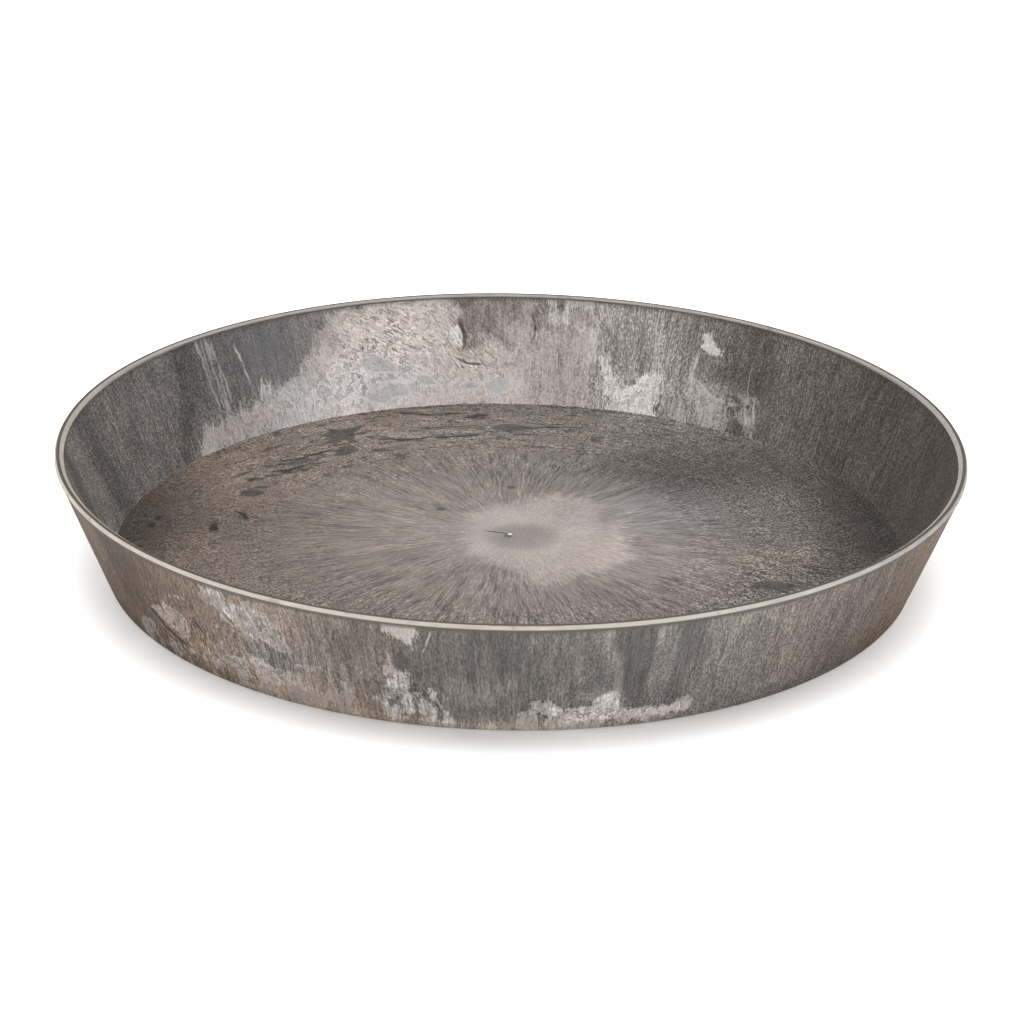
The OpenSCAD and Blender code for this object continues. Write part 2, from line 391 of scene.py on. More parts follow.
OUTER_WHITE = [
    (-0.4, [(-85, 12), (-83.8, 14), (-83.4, 9), (-84.4, 7)]),
    (-0.3, [(-135.4, 33.5), (-134.4, 36.5), (-132, 36), (-133.2, 33)]),
    (-0.8, [(-128, 47), (-121.5, 47), (-117, 34), (-116.5, 24), (-121, 27), (-125, 34)]),
    (-0.6, [(-106, 2), (-106, 17), (-103, 26), (-101, 24), (-98, 14), (-97, 3)]),
    (-0.55, [(-83, 4), (-82, 11), (-77.5, 17), (-76, 12), (-77, 4)]),
]

# Thin pale lines: (half width in mm, points)
INNER_VEINS = [
    (0.6, [(139.2, 50), (138.8, 36), (138.4, 16)]), (0.5, [(140.8, 50), (140.3, 34), (139.8, 20)]),
    (0.5, [(138, 46), (137.6, 34), (137.2, 22)]), (0.5, [(134, 42), (133.6, 34), (133.2, 27)]),
    (0.5, [(143.4, 6), (142.8, 10), (142.2, 16)]), (0.5, [(141.3, 8), (140.6, 12), (140.2, 17)]),
    (0.4, [(138.6, 14), (138, 21)]), (0.4, [(136.3, 14), (135.7, 20)]),
    (0.4, [(131.9, 19), (131.3, 24), (130.8, 27)]), (0.4, [(130, 20), (129.4, 25)]),
    (0.4, [(79.3, 50), (78, 44), (76.5, 36), (75.8, 27)]),
    (0.4, [(78.6, 36), (77.4, 28), (75.3, 21), (73.7, 12)]), (0.35, [(76.3, 48), (75.4, 40)]),
    (0.3, [(68.4, 50), (68.2, 33)]), (0.7, [(61.2, 33), (61.4, 24), (60.7, 14)]),
    (0.6, [(60.3, 23), (58.5, 18.5), (56, 16.5), (53, 17), (51, 19.5)]), (0.6, [(57.2, 14), (56.8, 7)]),
    (0.3, [(52, 33), (51.6, 22)]), (0.6, [(51.4, 21), (51, 14), (50.4, 8)]),
    (0.5, [(49.8, 18), (49.2, 12)]), (0.6, [(59, 12), (58.6, 6)]), (0.5, [(63, 17), (62.4, 12)]),
    (0.35, [(54.5, 14), (54.2, 9)]), (0.5, [(90.2, 17), (90, 11)]), (0.45, [(89.3, 18), (89, 12)]),
    (0.45, [(88.2, 17), (88.4, 11)]), (0.4, [(87.3, 19), (87.5, 12)]),
]
OUTER_VEINS = [
    (0.8, [(-126.3, 45.5), (-123.8, 38), (-121.2, 30.5)]),
    (0.4, [(-125.8, 37.5), (-126.4, 34), (-124.8, 31.5)]), (0.4, [(-101.2, 42), (-101, 38)]),
    (0.4, [(-104, 34), (-103.8, 28), (-103, 25)]), (0.5, [(-105.5, 15), (-105.2, 11)]),
    (0.5, [(-104.4, 18), (-104.1, 12)]), (0.5, [(-104.8, 8), (-104.5, 4)]),
    (0.5, [(-103, 20), (-102.6, 14)]), (0.5, [(-102.8, 10), (-102.3, 4)]),
    (0.45, [(-101.2, 13), (-100.7, 8)]), (0.45, [(-100, 12), (-99.2, 6)]),
    (0.45, [(-98.8, 15), (-98.2, 9)]), (0.45, [(-97.9, 7), (-97.3, 4)]),
    (0.3, [(-98.6, 46), (-99.3, 41), (-99.8, 37)]),
]

# Thin dark lines, likewise
INNER_CRACKS = [
    (0.45, [(28.7, 14), (28.3, 7)]), (0.9, [(98, 39), (97.3, 35), (97.5, 30)]),
    (0.5, [(98.5, 24), (97, 22), (95, 21.5)]), (0.6, [(87, 41), (86.6, 37), (86.8, 33.5)]),
]
OUTER_CRACKS = [
    (1.1, [(-141.9, 21), (-140, 16), (-137.5, 12.5), (-135.8, 10.5)]),
    (0.6, [(-129.8, 12), (-128.4, 9), (-126, 7)]), (0.7, [(-131.6, 26), (-130.8, 21)]),
    (0.9, [(-125.4, 36.5), (-124.6, 33)]),
]
FLOOR_CRACKS = [
    (0.5, [(-9, 2.2), (-4, 1.0), (-1, 0.6)]), (1.6, [(-147, 21), (-148, 17)]),
    (1.6, [(-149, 13), (-149, 10)]), (1.4, [(-123, 11), (-123, 4)]),
    (0.8, [(-115, 24), (-111, 20), (-110, 16)]), (1.0, [(-154, -4), (-157, -7)]),
    (1.0, [(-100, 83), (-92, 87), (-86, 92), (-80, 97)]), (0.8, [(-104, 70), (-97, 73), (-90, 77)]),
    (0.7, [(-88, 79), (-80, 82)]), (0.8, [(-79, 103), (-74, 106)]), (0.7, [(-66, 135), (-62, 137)]),
    (0.9, [(-60, 117), (-54, 113), (-48, 111), (-42, 112), (-36, 115)]),
    (0.8, [(-34, 114), (-26, 116), (-16, 118)]), (0.7, [(-42, 127), (-34, 128), (-26, 129), (-16, 131)]),
    (0.8, [(-52, 148), (-44, 147), (-36, 146)]), (0.8, [(-30, 148), (-20, 149)]),
    (0.9, [(-20, 143), (-12, 146)]), (0.7, [(10, 129), (22, 131), (32, 130)]),
]

# What the walls carry besides, mostly as soft marks (angle, height, half width, half height, amount):
# a net of pale lines, peeling with painted highlights and shadows on its torn edges, dashes of the brush
# with light dashes beside them that are partly painted highlights, the flow's turn in degrees and its
# stretch, rose, hairs, drapes, grit and warmth. A brush stroke is (angle, height, degrees from upright),
# soft is the width of the pale patches' edges in mm, and foot is how many stops of painted light the
# wall's foot gets, against the shade near the ground.
INNER_FEATURES = {
    "tone_along": INNER_TONE, "tone": INNER_TONES, "shades": INNER_SHADES, "tint_along": INNER_TINT,
    "pale": INNER_PALE, "dark": [],
    "pale_tone": INNER_PALE_TONES, "slate": INNER_SLATE, "white": INNER_WHITE, "vein": INNER_VEINS,
    "stretch": [(90, 25, 360, 360, 0.25), (72, 30, 14, 40, 0.15)],
    "net": [
        (113, 16, 10, 14, 1.0), (107, 38, 8, 10, 0.6), (92, 14, 6, 8, 1.0), (71, 14, 6, 9, 0.8),
        (56, 14, 7, 9, 0.8), (84, 42, 6, 9, 1.0), (119, 42, 5, 8, 0.5), (76, 38, 4, 12, 0.6),
        (93, 38, 3, 8, 0.4),
    ],
    "peel": [
        (115, 18, 11, 18, 1.0), (92, 18, 7, 12, 0.6), (72, 16, 6, 14, 0.9), (56, 15, 7, 10, 0.8),
        (84, 42, 7, 10, 0.5), (138, 12, 8, 8, 0.5), (107, 40, 11, 13, 0.8),
    ],
    "dash": [
        (108, 36, 11, 18, 1.0), (97, 25, 6, 8, 0.8), (128, 14, 10, 8, 0.35), (84, 42, 5, 8, 0.4),
        (186, 30, 6, 30, 0.5),
    ],
    "turn": [(108, 34, 14, 22, 60), (97, 22, 6, 7, 30)],
    "crack": INNER_CRACKS, "soft": 2.6, "foot": 0.0,
    "rose": [(90, 40, 9, 16, 0.9)],
    "hair": [
        (90, 25, 400, 400, 0.6), (72, 30, 12, 40, 0.5), (20, 25, 25, 60, 0.5), (128, 38, 9, 18, -0.2),
        (165, 25, 20, 60, 0.4),
    ],
    "drape": [
        (90, 25, 400, 400, 0.2), (72, 30, 16, 40, 0.2), (30, 25, 20, 60, 0.1), (165, 25, 20, 60, 0.15),
    ],
    "grit": [
        (15, 25, 30, 80, 0.1), (129, 38, 8, 16, -0.65), (180, 30, 14, 60, 0.3), (112, 25, 14, 30, -0.35),
        (92, 42, 7, 12, -0.45),
    ],
    "brush": [(108, 34, 60), (97, 20, 40), (128, 14, 20), (84, 42, 15), (186, 30, -20), (60, 20, 0)],
    "tint": [
        (112, 16, 10, 12, -0.7), (135, 12, 10, 7, 0.9), (108, 40, 8, 10, 0.3), (122, 30, 3, 8, 0.6),
        (97, 28, 3, 8, 0.4), (93, 42, 6, 12, -0.2), (70, 25, 7, 30, -0.22),
    ],
}
OUTER_FEATURES = {
    "tone_along": OUTER_TONE, "tone": OUTER_TONES, "shades": OUTER_SHADES, "tint_along": OUTER_TINT,
    "pale": OUTER_PALE, "dark": OUTER_DARK, "pale_tone": OUTER_PALE_TONES, "slate": [],
    "white": OUTER_WHITE, "vein": OUTER_VEINS,
    "stretch": [(-90, 25, 360, 360, 0.3), (-92, 30, 8, 40, 0.3), (-138, 25, 18, 40, 0.45)],
    "net": [
        (-102, 10, 5, 8, 0.3), (-79, 14, 3, 6, 0.6), (-125, 10, 6, 7, 0.4), (-121, 36, 5, 10, 0.5),
        (-54, 8, 4, 4, 0.45),
    ],
    "peel": [
        (-137, 18, 9, 16, 0.9), (-123, 25, 8, 28, 1.0), (-103, 15, 5, 18, 0.9), (-82, 10, 7, 12, 0.9),
        (-70, 6, 7, 7, 0.8), (-54, 8, 5, 4, 0.5), (-152, 38, 6, 14, 0.4),
    ],
    "dash": [(-140, 12, 8, 12, 0.8), (-120, 20, 5, 9, 0.8), (-103, 10, 4, 8, 0.6), (-130, 20, 8, 16, 0.5)],
    "turn": [(-138, 22, 12, 24, 35), (-124, 38, 6, 10, 20)],
    "crack": OUTER_CRACKS, "soft": 1.2, "foot": 0.35,
    "rose": [(-45, 25, 10, 60, 0.8)],
    "hair": [
        (-90, 25, 400, 400, 0.75), (-30, 25, 25, 60, 0.6), (-150, 25, 20, 60, 0.4), (-114, 25, 9, 60, 0.4),
    ],
    "drape": [
        (-90, 25, 400, 400, 0.2), (-114, 25, 9, 60, 0.2), (-85, 30, 20, 60, 0.3), (-30, 30, 20, 60, 0.15),
    ],
    "grit": [
        (-20, 25, 25, 60, 0.2), (-165, 25, 20, 60, 0.2), (-90, 25, 30, 60, -0.35), (-116, 25, 9, 60, -0.2),
        (-75.3, 36, 1.8, 20, -0.55), (-68.8, 36, 1.2, 20, -0.5),
    ],
    "brush": [
        (-140, 12, 35), (-124, 38, 30), (-120, 18, 5), (-103, 10, -15), (-130, 20, 30), (-30, 25, -10),
    ],
    "tint": [
        (-120, 20, 4, 8, -0.8), (-33, 8, 9, 6, 0.4), (-155, 30, 6, 30, 0.3), (-122, 6, 14, 12, 0.28),
        (-90, 1, 24, 5, 0.4), (-122, 37, 6, 12, 0.3), (-103, 20, 5, 40, 0.15), (-79, 10, 8, 10, 0.12),
    ],
}

# Those of them that are soft marks
SOFT_MARKS = ("tone", "tint", "pale_tone", "net", "peel", "dash", "rose", "hair", "drape", "grit", "turn",
              "stretch")

# Painted light on the foot of a wall, against the shade near the ground: (height, share)
FOOT_LIGHT_FADE = [(0, 1), (18, 0)]

# Curves over the floor, by the distance r from its centre or by x: (place, value)
GLOW_BY_R = [(0, 0.5), (20, 0.5), (60, 0.2), (95, -0.15)]
TINT_BY_X = [(-150, 0.7), (-60, 0.4), (0, 0.25), (60, 0.15), (150, 0.35)]
TINT_BY_R = [(20, 0.3), (60, 0.5), (100, 1.1)]
HAIR_BY_R = [(85, 1), (110, 0.4), (150, 0.3)]
ROSE_BY_R = [(20, 0.5), (40, 1), (90, 1), (115, 0.3)]
GRIT_BY_R = [(13, -0.7), (26, -0.5), (60, -0.5), (85, 0.0), (110, 0.8)]
STRETCH_BY_R = [(0, 0.05), (12, 0.15), (25, 0.6), (60, 0.8), (90, 0.4), (110, 0.25), (162, 0.2)]

# Smooth random changes of the floor's warmth and of the flow's direction: amount, and size in mm
TINT_WANDER, TINT_WANDER_SIZE = 0.2, 40
WALL_WANDER, WALL_WANDER_SIZE = 0.25, 30
FLOOR_WANDER_SIZE = 28

# How much more the flow is stretched where the brush made dashes
DASH_STRETCH = 0.25

# Rim: its plain stone, how light its worn bevels are with their painted highlight, how dark its top is, and
# how dark its painted shadow lines are
RIM_TONE, RIM_STRETCH = -0.3, 1.5
BEVEL_LIGHT, BEVEL_SHADOW = 0.78, 0.6
RIM_TOP_DARK, INNER_SHADOW, LIP_SHADOW = 0.7, 0.5, 0.9

# Height of the painted shadow line at the foot of the inner bevel, and of the painted shadow lines below
# the rim, in mm
BEVEL_LINE_H = 0.3 * INNER_BEVEL[1]
RIM_LINE_H = 4 * EDGE_ROUND

# Along the rim: its warmth, how much the painted shadow line on the inner bevel shows, and how light the
# outer bevel is, worn and with a painted highlight, as (angle, value)
RIM_TINT = [(-180, 0.8), (-150, 1), (-110, 0.9), (-70, 0.4), (-40, 0), (150, 0.2), (180, 0.8)]
RIM_BACK = [(10, 0), (40, 1), (140, 1), (170, 0)]
OUTER_BEVEL_LIGHT = [(-60, 1), (-40, 0.8), (-20, 0.55), (25, 0.55), (60, 1)]

# Underside
UNDER_TONE, UNDER_TINT, UNDER_STRETCH = -0.2, 0.4, 0.8


def make_camera():
    camera = bpy.data.objects.new("camera", bpy.data.cameras.new("camera"))
    bpy.context.scene.collection.objects.link(camera)
    back = Vector((0, -math.cos(CAMERA_ELEVATION), math.sin(CAMERA_ELEVATION)))
    facing = (-back).to_track_quat("-Z", "Y").to_matrix()
    facing = facing @ Matrix.Rotation(CAMERA_YAW, 3, "Y")
    facing = facing @ Matrix.Rotation(CAMERA_PITCH, 3, "X")
    facing = facing @ Matrix.Rotation(-CAMERA_ROLL, 3, "Z")
    camera.matrix_world = Matrix.Translation(back * CAMERA_D) @ facing.to_4x4()
    camera.data.sensor_width = SENSOR_MM
    camera.data.lens = LENS_MM
    bpy.context.scene.camera = camera


def dome_z(r, radius):
    """Height of one of the floor's domes at a distance from the axis."""
    return DOME_Z + math.sqrt(radius ** 2 - r ** 2)


def ball_radius(half_w, h):
    """Radius of the ball whose cap has this half width and height."""
    return (half_w ** 2 + h ** 2) / (2 * h)


def rounded(corners):
    """Outline through corners (r, z, radius), with an arc of that radius at each corner."""
    out = []
    for before, here, after in zip(corners, corners[1:], corners[2:]):
        a, p, b = (np.array(c[:2], float) for c in (before, here, after))
        to_a = (a - p) / np.linalg.norm(a - p)
        to_b = (b - p) / np.linalg.norm(b - p)
        half = math.acos(np.clip(to_a @ to_b, -1, 1)) / 2
        centre = p + (to_a + to_b) / np.linalg.norm(to_a + to_b) * here[2] / math.sin(half)
        reach = here[2] / math.tan(half)
        start, end = p + to_a * reach - centre, p + to_b * reach - centre
        steps = max(2, round((math.pi - 2 * half) * here[2] / RING_STEP))
        for t in np.linspace(0, 1, steps + 1):
            side = start * (1 - t) + end * t
            out.append(tuple(centre + side / np.linalg.norm(side) * here[2]))
    return [corners[0][:2]] + out + [corners[-1][:2]]


def spaced(points, step, guard):
    """The outline with extra points on its long straight runs, and one close to each end."""
    out = [points[0]]
    for a, b in zip(points, points[1:]):
        length = math.dist(a, b)
        if length > 2 * step:
            count = round((length - 2 * guard) / step)
            at = [guard + (length - 2 * guard) * i / count for i in range(count + 1)]
        else:
            at = [guard, length / 2, length - guard] if length > 4 * guard else []
        out += [tuple(np.array(a) + (np.array(b) - a) * t / length) for t in at]
        out.append(b)
    return out


def floor_outline():
    """Points of the upper face of the floor, from the nub on the axis outwards."""
    bottom = FLOOR_EDGE_Z + FLOOR_CROWN - DIMPLE_DEPTH
    dimple_ball = ball_radius(DIMPLE_R, DIMPLE_DEPTH)
    nub_ball = ball_radius(NUB_R, NUB_H)
    points = []
    for r in GATE_RINGS:
        z = bottom + dimple_ball - math.sqrt(dimple_ball ** 2 - r ** 2)
        if r < NUB_R:
            z = max(z, bottom + NUB_H - nub_ball + math.sqrt(nub_ball ** 2 - r ** 2))
        points.append((r, z))
    count = round((FLOOR_IN - DIMPLE_R) / RING_STEP)
    radii = [DIMPLE_R + (FLOOR_IN - DIMPLE_R) * i / count for i in range(count + 1)]
    return points + [(r, dome_z(r, DOME_R)) for r in radii]


def wall_outline():
    """Points from the edge of the floor up the inner wall, over the rim and down to the ring."""
    step_h = dome_z(FOOT_INNER_R, UNDER_DOME_R)
    corners = [
        (FLOOR_IN, dome_z(FLOOR_IN, DOME_R), 0),
        (FLOOR_R, FLOOR_EDGE_Z, FLOOR_ROUND),
        (INNER_TOP_R, INNER_TOP_Z, EDGE_ROUND),
        (INNER_TOP_R + INNER_BEVEL[0], HEIGHT, EDGE_ROUND),
        (RIM_R - OUTER_BEVEL[0], HEIGHT, EDGE_ROUND),
        (RIM_R, HEIGHT - OUTER_BEVEL[1], EDGE_ROUND),
        (RIM_R, LIP_BOTTOM, EDGE_ROUND / 2),
        (SHOULDER_R, SHOULDER_Z, EDGE_ROUND / 2),
        (BASE_R, 0, FOOT_ROUND),
        (FOOT_INNER_R, 0, EDGE_ROUND),
        (FOOT_INNER_R - step_h, step_h, EDGE_ROUND),
        (UNDER_IN, dome_z(UNDER_IN, UNDER_DOME_R), 0),
    ]
    return spaced(rounded(corners), RING_STEP, EDGE_ROUND)


def under_outline():
    """Points of the underside of the floor, inwards to the axis."""
    count = round(UNDER_IN / UNDER_STEP)
    radii = [UNDER_IN * (1 - i / count) for i in range(1, count + 1)]
    return [(r, dome_z(r, UNDER_DOME_R)) for r in radii]


def zones(outline):
    """The part of the surface that each ring of the outline lies on."""
    top = max(range(len(outline)), key=lambda i: outline[i][1])
    out = []
    for i, (r, z) in enumerate(outline):
        if i < top:
            zone = FLOOR if r < FLOOR_R else INNER if z < INNER_TOP_Z - EDGE_ROUND else RIM
        else:
            zone = RIM if z > SHOULDER_Z else OUTER if r > BASE_R - FOOT_ROUND else UNDER
        out.append(zone)
    return out


def points_around(r, finest):
    """Points on a ring: halved each time the radius halves, so that they stay evenly spaced."""
    count, limit = finest, HALF_BELOW
    while r < limit and count > FEWEST_AROUND:
        count, limit = count // 2, limit / 2
    return count


def stitch(a, b):
    """Faces between two neighbouring rings of point numbers. One may have twice the points."""
    if len(a) == len(b):
        return [(a[j - 1], b[j - 1], b[j], a[j]) for j in range(len(a))]
    if len(a) > len(b):
        return [face[::-1] for face in stitch(b, a)]
    faces = []
    for j in range(len(a)):
        k = (j + 1) % len(a)
        first, middle, last = b[2 * j], b[2 * j + 1], b[2 * k]
        faces += [(a[j], first, middle), (a[j], middle, a[k]), (a[k], middle, last)]
    return faces


def lathe(outline, counts):
    """Points, faces and the rings' point numbers of a closed body turned about the axis."""
    places, rings = [], []
    for (r, z), count in zip(outline, counts):
        first = len(places)
        if r < AXIS_R:
            places.append((0.0, 0.0, z))
            rings.append([first])
            continue
        angles = 2 * math.pi * np.arange(count) / count
        places += [(r * math.cos(a), r * math.sin(a), z) for a in angles]
        rings.append(list(range(first, first + count)))
    faces = []
    for a, b in zip(rings, rings[1:]):
        if len(a) == 1:
            faces += [(a[0], b[j - 1], b[j]) for j in range(len(b))]
        elif len(b) == 1:
            faces += [(a[j - 1], b[0], a[j]) for j in range(len(a))]
        else:
            faces += stitch(a, b)
    return np.array(places), faces, rings


def curve(values, points):
    """Heights at these values of a curve through points (value, height)."""
    return np.interp(values, *zip(*points))


def ramp(values, start, end, low=0, high=1):
    """Goes evenly from low to high as the values go from start to end."""
    return low + (high - low) * np.clip((values - start) / (end - start), 0, 1)


def edge_distance(points, corners):
    """Distance in mm from each point to a closed outline, positive inside it."""
    corners = np.array(corners, float)
    nearest = np.full(len(points), np.inf)
    within = np.zeros(len(points), bool)
    for a, b in zip(corners, np.roll(corners, -1, axis=0)):
        along = b - a
        t = np.clip((points - a) @ along / (along @ along), 0, 1)
        nearest = np.minimum(nearest, np.linalg.norm(points - a - t[:, None] * along, axis=1))
        if a[1] != b[1]:
            crosses = (a[1] > points[:, 1]) != (b[1] > points[:, 1])
            within ^= crosses & (points[:, 0] < a[0] + (points[:, 1] - a[1]) * along[0] / along[1])
    return np.where(within, nearest, -nearest)


def patches(points, marks, scale):
    """Distance in mm to the edge of the nearest of some patches, positive inside one."""
    out = np.full(len(points), -MARK_REACH)
    for solid, corners in marks:
        inside = edge_distance(points, np.array(corners, float) * scale)
        out = np.maximum(out, np.minimum(inside, solid))
    return out


def off_centre(points, x, y, w, h):
    """Distance from the middle of a round mark, 1 at its edge."""
    return np.hypot((points[:, 0] - x) / w, (points[:, 1] - y) / h)


def spots(points, marks):
    """The same as patches for spots (x, y, half width, half height)."""
    out = np.full(len(points), -MARK_REACH)
    for x, y, w, h in marks:
        out = np.maximum(out, (1 - off_centre(points, x, y, w, h)) * min(w, h))
    return out


def blobs(points, marks, power=2):
    """Sum of soft round marks (x, y, half width, half height, amount), flatter with a higher power."""
    out = np.zeros(len(points))
    for x, y, w, h, amount in marks:
        out += amount * np.exp(-off_centre(points, x, y, w, h) ** power)
    return out


def shades(points, marks, scale):
    """Sum of soft-edged marks (amount, width of the edge, corners)."""
    out = np.zeros(len(points))
    for amount, soft, corners in marks:
        t = np.clip(edge_distance(points, np.array(corners, float) * scale) / soft + 0.5, 0, 1)
        out += amount * t * t * (3 - 2 * t)
    return out


def lines(points, strokes, scale):
    """Signed distance to the nearest stroke (half width, points), in half widths of that stroke,
    and how near its length each point is."""
    nearest = np.full(len(points), MARK_REACH)
    out = np.full(len(points), MARK_REACH)
    near = np.zeros(len(points))
    for half, stroke in strokes:
        stroke = np.array(stroke, float) * scale
        for a, b in zip(stroke, stroke[1:]):
            along = (b - a) / np.linalg.norm(b - a)
            across = (points - a) @ np.array([-along[1], along[0]])
            past = np.abs((points - (a + b) / 2) @ along) - np.linalg.norm(b - a) / 2
            far = np.hypot(across, np.maximum(past, 0))
            mine = far < nearest
            nearest = np.where(mine, far, nearest)
            out = np.where(mine, across / half, out)
            near = np.where(mine, np.clip(1 - past, 0, 1) * (np.abs(across) < LINE_REACH), near)
    return out, near


def brush(points, strokes, scale):
    """Places measured across and along the brush strokes, in their widths and lengths. A stroke
    (angle, height, degrees from upright) sets their direction near it."""
    out = np.zeros((len(points), 2))
    nearest = np.full(len(points), np.inf)
    for angle, z, lean in strokes:
        far = np.linalg.norm(points - np.array([angle, z]) * scale, axis=1)
        s, c = math.sin(math.radians(lean)), math.cos(math.radians(lean))
        across, along = points @ np.array([c, -s]), points @ np.array([s, c])
        mine = far < nearest
        out[mine] = np.column_stack([across / STROKE_WIDTH, along / STROKE_LENGTH])[mine]
        nearest = np.minimum(nearest, far)
    return out


def wander(places, size):
    """Smooth random values between about -1 and 1, which change over this many mm."""
    return np.array([noise.noise(Vector(p) / size) for p in places])


def turned(ahead, across, turn, stretch):
    """Directions turned from ahead towards across by these angles, with these lengths."""
    way = ahead * np.cos(turn)[:, None] + across * np.sin(turn)[:, None]
    return way * stretch[:, None]


class Marks:
    """The values that the stone's material reads at each point of the dish."""

    def __init__(self, places, zone):
        self.places, self.zone = places, zone
        self.r = np.hypot(places[:, 0], places[:, 1])
        self.angle = np.degrees(np.arctan2(places[:, 1], places[:, 0]))
        count = len(places)
        names = ("tone", "tint", "vein", "vein_near", "net", "dash", "crack", "crack_near", "grit",
                 "rim_light", "rim_dark", "rays", "pale_tone", "peel", "hair", "drape", "rose")
        self.values = {name: np.zeros(count) for name in names}
        for name in ("pale", "dark", "slate", "white"):
            self.values[name] = np.full(count, -MARK_REACH)
        self.values["core"] = np.full(count, -CORE_REACH)
        self.values["along"] = np.where(zone == FLOOR, self.r, RIM_R + places[:, 2] * WALL_MM_PER_Z)
        self.values["soft"] = np.ones(count)
        self.values["hairs"] = np.where(zone == FLOOR, FLOOR_HAIRS, WALL_HAIRS)
        self.flow = np.zeros((count, 3))
        self.stroke = np.zeros((count, 3))

    def set(self, where, **values):
        for name, value in values.items():
            self.values[name][where] = value

    def store(self, mesh):
        """Keep the values on the mesh's points, under their names."""
        for name, values in self.values.items():
            layer = mesh.attributes.new(name, "FLOAT", "POINT")
            layer.data.foreach_set("value", values.astype(np.float32))
        for name, values in (("flow", self.flow), ("stroke", self.stroke)):
            layer = mesh.attributes.new(name, "FLOAT_VECTOR", "POINT")
            layer.data.foreach_set("vector", values.astype(np.float32).ravel())

    def outwards(self, where):
        a = np.radians(self.angle[where])
        return np.column_stack([np.cos(a), np.sin(a), np.zeros(len(a))])

    def sideways(self, where):
        a = np.radians(self.angle[where])
        return np.column_stack([-np.sin(a), np.cos(a), np.zeros(len(a))])


def mark_floor(marks):
    at = marks.zone == FLOOR
    points = marks.places[at, :2]
    x, y = points.T
    r = marks.r[at]
    core = np.clip(edge_distance(points, FLOOR_CORE), -CORE_REACH, CORE_REACH)
    cool = blobs(points, FLOOR_COOL)
    back = ramp(r, 85, 105) * ramp(y, 20, 70)
    front = ramp(r, 90, 110) * ramp(y, 14, 4)
    left = ramp(x, -50, -100) * ramp(y, 80, 40)
    tint = curve(x, TINT_BY_X) * curve(r, TINT_BY_R) - cool
    dark = np.maximum(patches(points, FLOOR_DARK, 1), spots(points, FLOOR_SPOTS))
    crack, near = lines(points, FLOOR_CRACKS, 1)
    marks.set(at, core=core, crack=crack, crack_near=near, peel=blobs(points, FLOOR_PEEL),
              tone=blobs(points, FLOOR_TONE) + curve(r, GLOW_BY_R) + blobs(points, GATE_DISC, DISC_POWER),
              tint=tint + TINT_WANDER * wander(marks.places[at], TINT_WANDER_SIZE),
              # A painted shadow at the foot of the nub, and a painted highlight: the nub itself is painted
              # white.
              dark=np.where(spots(points, [NUB_SHADOW]) > 0, SOLID, dark),
              white=np.where(r < NUB_R, SOLID, -MARK_REACH),
              dash=back * ramp(x, 30, 90, 0.9, 0.5) + front * ramp(x - y, 60, 120, 0.3, 0.8),
              rays=ramp(core, -2, -12) * ramp(r, 105, 75),
              hair=ramp(core, -1, -8, 0, 1.25) * curve(r, HAIR_BY_R),
              rose=ramp(y, 10, 70, 0.6, 0.2) * curve(r, ROSE_BY_R) * (1 - cool),
              grit=curve(r, GRIT_BY_R) - back * ramp(x, 0, 60, 0.55, 0.1) - 0.5 * left)
    turn = ramp(r, 40, 120, 0.1, 0.5) * wander(marks.places[at], FLOOR_WANDER_SIZE) + back * math.pi / 2
    marks.flow[at] = turned(marks.outwards(at), marks.sideways(at), turn, curve(r, STRETCH_BY_R))
    outward = y < OUTWARD_Y
    around = FLOOR_STROKE_R / np.where(outward, OUTWARD_WIDTH, AROUND_LENGTH)
    marks.stroke[at] = marks.outwards(at) * around[:, None]
    marks.stroke[at, 2] = r / np.where(outward, OUTWARD_LENGTH, AROUND_WIDTH)


def mark_wall(marks, zone, slope, side, features):
    """Marks of one wall. Its features are given for the angles with the sign of side."""
    at = marks.zone == zone
    angle, z = side * np.abs(marks.angle[at]), marks.places[at, 2]
    scale = np.array([WALL_MM_PER_DEG, WALL_MM_PER_Z])
    flat = np.column_stack([angle, z])
    points = flat * scale
    for name in ("pale", "dark", "slate", "white"):
        marks.set(at, **{name: patches(points, features[name], scale)})
    for name in ("vein", "crack"):
        off, near = lines(points, features[name], scale)
        marks.set(at, **{name: off, name + "_near": near})
    soft = {name: blobs(flat, features[name]) for name in SOFT_MARKS}
    for name in ("net", "peel", "dash", "rose"):
        soft[name] = np.clip(soft[name], 0, 1)
    stretch, turn = soft.pop("stretch"), np.radians(soft.pop("turn"))
    marks.set(at, soft=features["soft"], **soft)
    # Painted light: the foot of a wall is made lighter, against the shade near the ground.
    foot = features["foot"] * curve(z, FOOT_LIGHT_FADE)
    marks.values["tone"][at] += curve(angle, features["tone_along"]) + foot
    marks.values["tone"][at] += shades(points, features["shades"], scale)
    marks.values["tint"][at] += curve(angle, features["tint_along"])
    marks.values["pale_tone"][at] += foot
    turn += WALL_WANDER * wander(marks.places[at], WALL_WANDER_SIZE)
    up = (marks.outwards(at) * slope + (0, 0, 1)) / math.hypot(1, slope)
    across = marks.sideways(at) * np.where(marks.angle[at] * side < 0, -1, 1)[:, None]
    marks.flow[at] = turned(up, across, turn, stretch + DASH_STRETCH * soft["dash"])
    marks.stroke[at, :2] = brush(points, features["brush"], scale)


